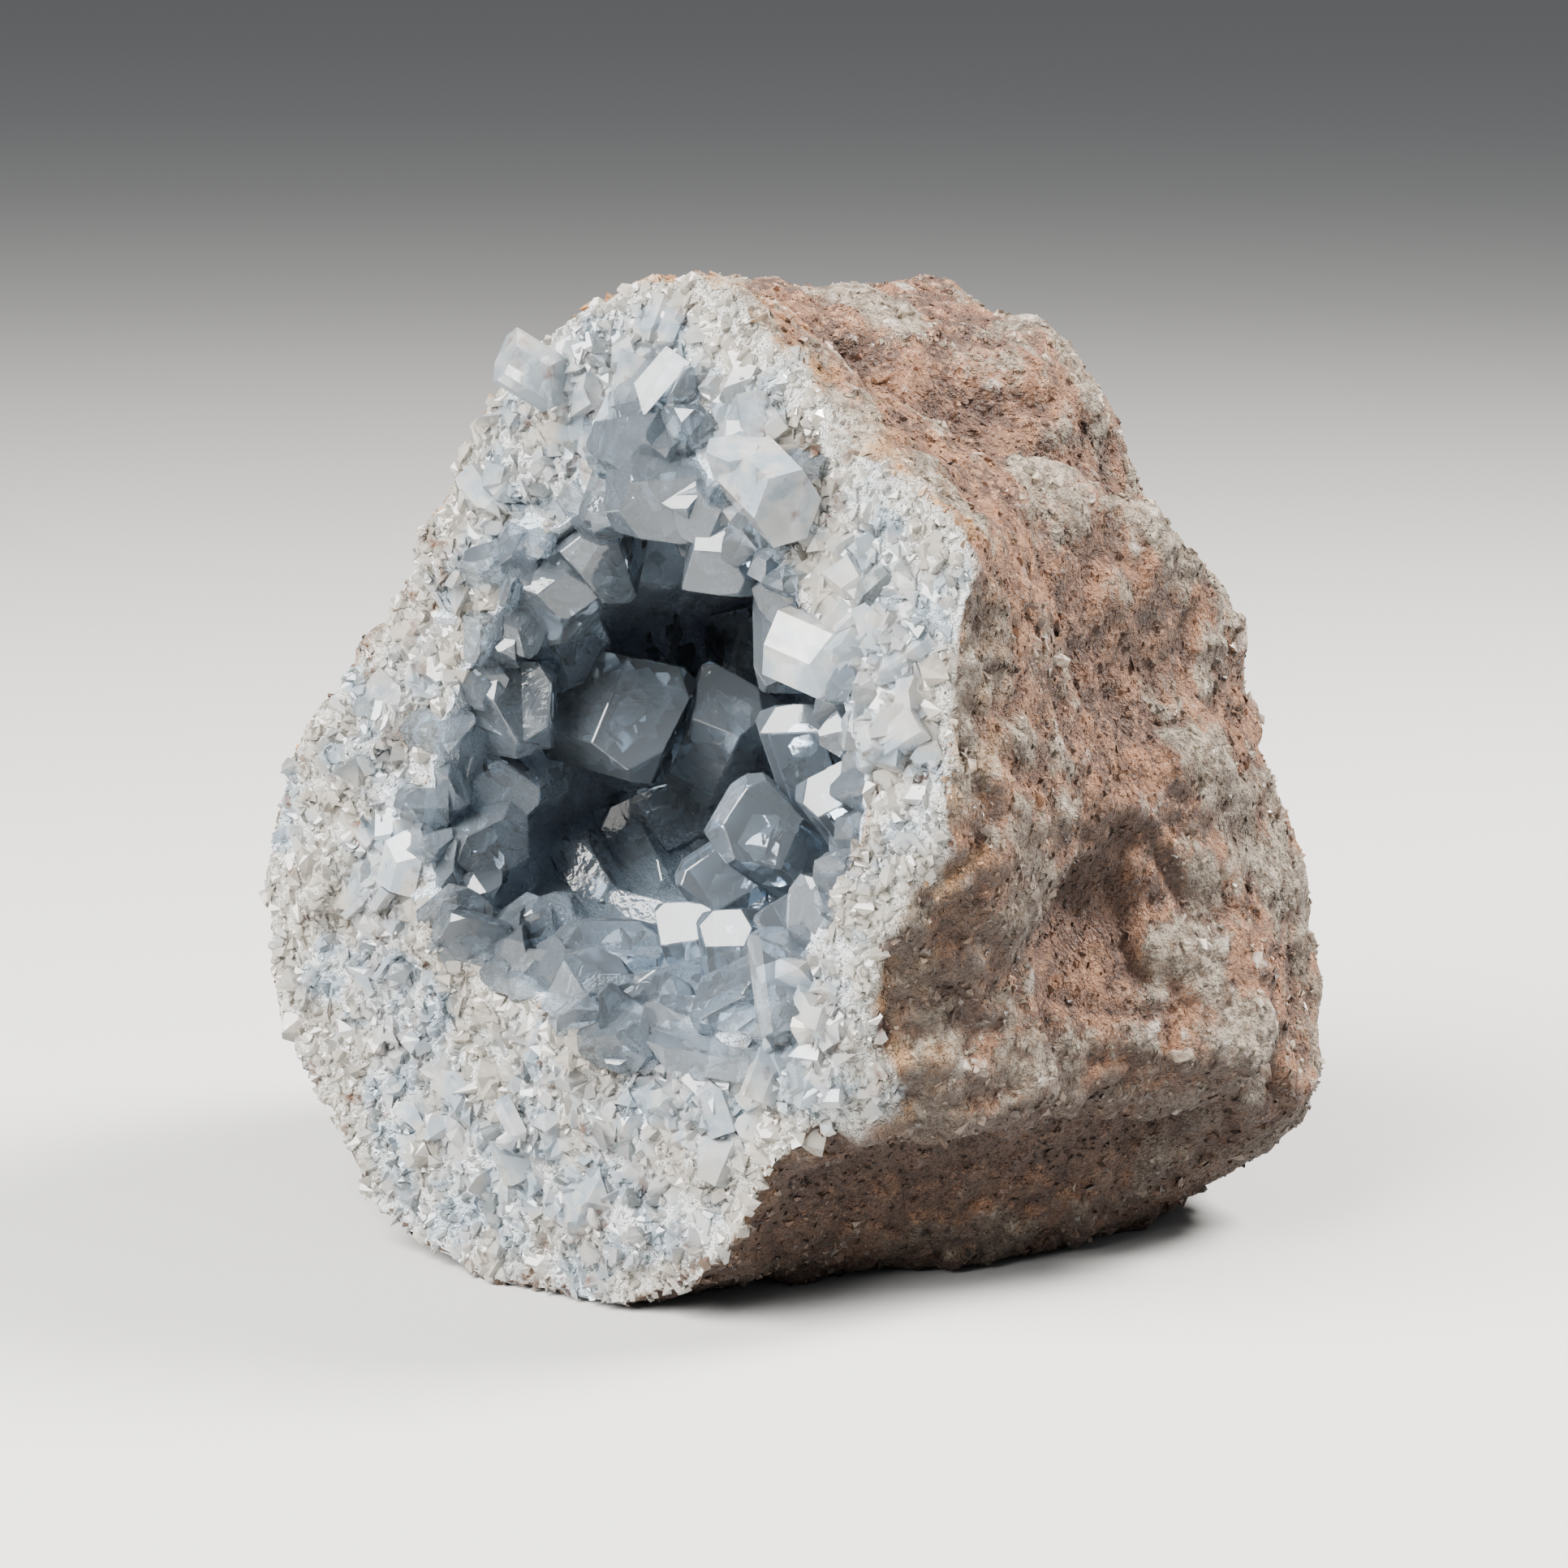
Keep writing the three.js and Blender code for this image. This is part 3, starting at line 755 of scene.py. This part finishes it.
def crystal_finish():
    """Clear pale blue celestite."""
    f = Finish("clear_celestite")
    f.set(Base_Color=CRYSTAL_BODY, Transmission_Weight=0.93, IOR=1.62)
    f.set(Roughness=f.ramp(f.noise(4 * MM, 5, 0.6), 0.5, 0.74, 0.04, 0.2))
    waves = f.bump(f.noise(3 * MM, 3), 0.08, 0.3 * MM)
    f.set(Normal=f.bump(f.noise(0.7 * MM, 2), 0.14, 0.1 * MM, waves))
    absorption = f.node("ShaderNodeVolumeAbsorption")
    absorption.inputs["Color"].default_value = CRYSTAL_TINT
    absorption.inputs["Density"].default_value = 26
    f.tree.links.new(absorption.outputs["Volume"], f.output.inputs["Volume"])
    return f.material


def grain_finish():
    """Cloudy white and pale blue grains."""
    f = Finish("cloudy_celestite")
    f.set(Base_Color=broken_colour(f), Transmission_Weight=0.68, IOR=1.62)
    f.set(Roughness=f.ramp(f.noise(1.5 * MM, 3), 0.4, 0.7, 0.02, 0.22))
    return f.material


def stone_grain_finish():
    """Dusty stone grains of the rind, some with bright faces."""
    f = Finish("stone_grains")
    f.set(Base_Color=rind_colour(f, 0.47), IOR=1.55)
    f.set(Roughness=f.ramp(f.noise(0.9 * MM), 0.35, 0.65, 0.3, 0.95))
    return f.material


def floor_finish():
    f = Finish("pale_floor")
    f.set(Base_Color=FLOOR_PALE, Roughness=0.9, Specular_IOR_Level=0.0)
    return f.material


# Stage

def add_floor():
    """A pale floor, like a very shallow bowl, so that no horizon shows."""
    shape = bmesh.new()
    profile = [Vector((0, 0, 0))]
    for share in np.linspace(0, 1, FLOOR_RINGS):
        radius = FLOOR_FLAT + (FLOOR_RADIUS - FLOOR_FLAT) * share
        profile.append(Vector((radius, 0, FLOOR_RISE * share**2)))
    line = [shape.verts.new(corner) for corner in profile]
    edges = [shape.edges.new(pair) for pair in zip(line, line[1:])]
    bmesh.ops.spin(
        shape, geom=line + edges, axis=(0, 0, 1), angle=2 * math.pi, steps=FLOOR_SIDES, use_merge=True,
    )
    bmesh.ops.remove_doubles(shape, verts=shape.verts, dist=WELD)
    bmesh.ops.reverse_faces(shape, faces=[f for f in shape.faces if f.normal.z < 0])
    mesh = mesh_of(shape, "floor")
    mesh.shade_smooth()
    floor = bpy.data.objects.new("floor", mesh)
    bpy.context.scene.collection.objects.link(floor)
    mesh.materials.append(floor_finish())


def camera_axes():
    """Right, up and back of the camera."""
    back = Vector((
        math.sin(CAMERA_AZIMUTH) * math.cos(CAMERA_ELEVATION),
        -math.cos(CAMERA_AZIMUTH) * math.cos(CAMERA_ELEVATION),
        math.sin(CAMERA_ELEVATION),
    ))
    right = Vector((0, 0, 1)).cross(back).normalized()
    return right, back.cross(right), back


def add_camera():
    camera = bpy.data.objects.new("camera", bpy.data.cameras.new("camera"))
    camera.data.lens = CAMERA_LENS
    camera.data.sensor_width = CAMERA_SENSOR
    camera.data.clip_start = 0.01
    back = camera_axes()[2]
    camera.location = CAMERA_TARGET + back * CAMERA_DISTANCE
    camera.rotation_euler = back.to_track_quat("Z", "Y").to_euler()
    bpy.context.scene.collection.objects.link(camera)
    bpy.context.scene.camera = camera


def add_light(name, towards, distance, size, power, colour):
    """A square soft light at a distance from the geode; towards is given along right, up and back."""
    right, up, back = camera_axes()
    way = (right * towards[0] + up * towards[1] + back * towards[2]).normalized()
    light = bpy.data.objects.new(name, bpy.data.lights.new(name, "AREA"))
    light.data.size = size
    light.data.energy = power
    light.data.color = colour
    light.location = CAMERA_TARGET + way * distance
    light.rotation_euler = way.to_track_quat("Z", "Y").to_euler()
    bpy.context.scene.collection.objects.link(light)


def add_lights():
    world = bpy.data.worlds.new("studio")
    world.use_nodes = True
    background = world.node_tree.nodes["Background"]
    background.inputs["Color"].default_value = (0.88, 0.93, 1.0, 1)
    background.inputs["Strength"].default_value = 0.2
    bpy.context.scene.world = world
    add_light("key", (-0.9, 0.8, 0.9), 1.0, 0.8, 58, (1.0, 0.99, 0.97))
    add_light("side", (0.9, 1.0, 0.1), 0.8, 0.25, 26, (1.0, 0.97, 0.93))


def set_light_paths():
    """Enough bounces for the clear crystals, and few between the rough surfaces."""
    cycles = bpy.context.scene.cycles
    cycles.max_bounces = 6
    cycles.diffuse_bounces = 1
    cycles.glossy_bounces = 1
    cycles.transmission_bounces = 6
    cycles.use_light_tree = False


def build():
    solid = merged_copy("crystal_crust")
    crust = BVHTree.FromBMesh(solid)
    solid.free()
    rock_data = rock_mesh(crust)
    ground = Ground(rock_data)
    stone, clay = rind_patches(ground)
    rock = new_piece("rock_body", rock_data, rock_finish())
    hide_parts("rock_wall")
    clear = crystal_finish()
    crystals = new_piece("hollow_crystals", crystal_mesh(crust), clear)
    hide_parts("crystal_crust")
    new_piece("mouth_crystals", mouth_crystals(ground), clear)
    cloudy = grain_finish()
    new_piece("face_crystals", face_crystals(ground), cloudy)
    new_piece("cloudy_grains", cloudy_grains(ground), cloudy)
    new_piece("stone_grains", stone_grains(ground, stone), stone_grain_finish())
    new_piece("clay_crumbs", clay_crumbs(ground, clay), rock.data.materials[0])


add_camera()
add_lights()
set_light_paths()
add_floor()
build()
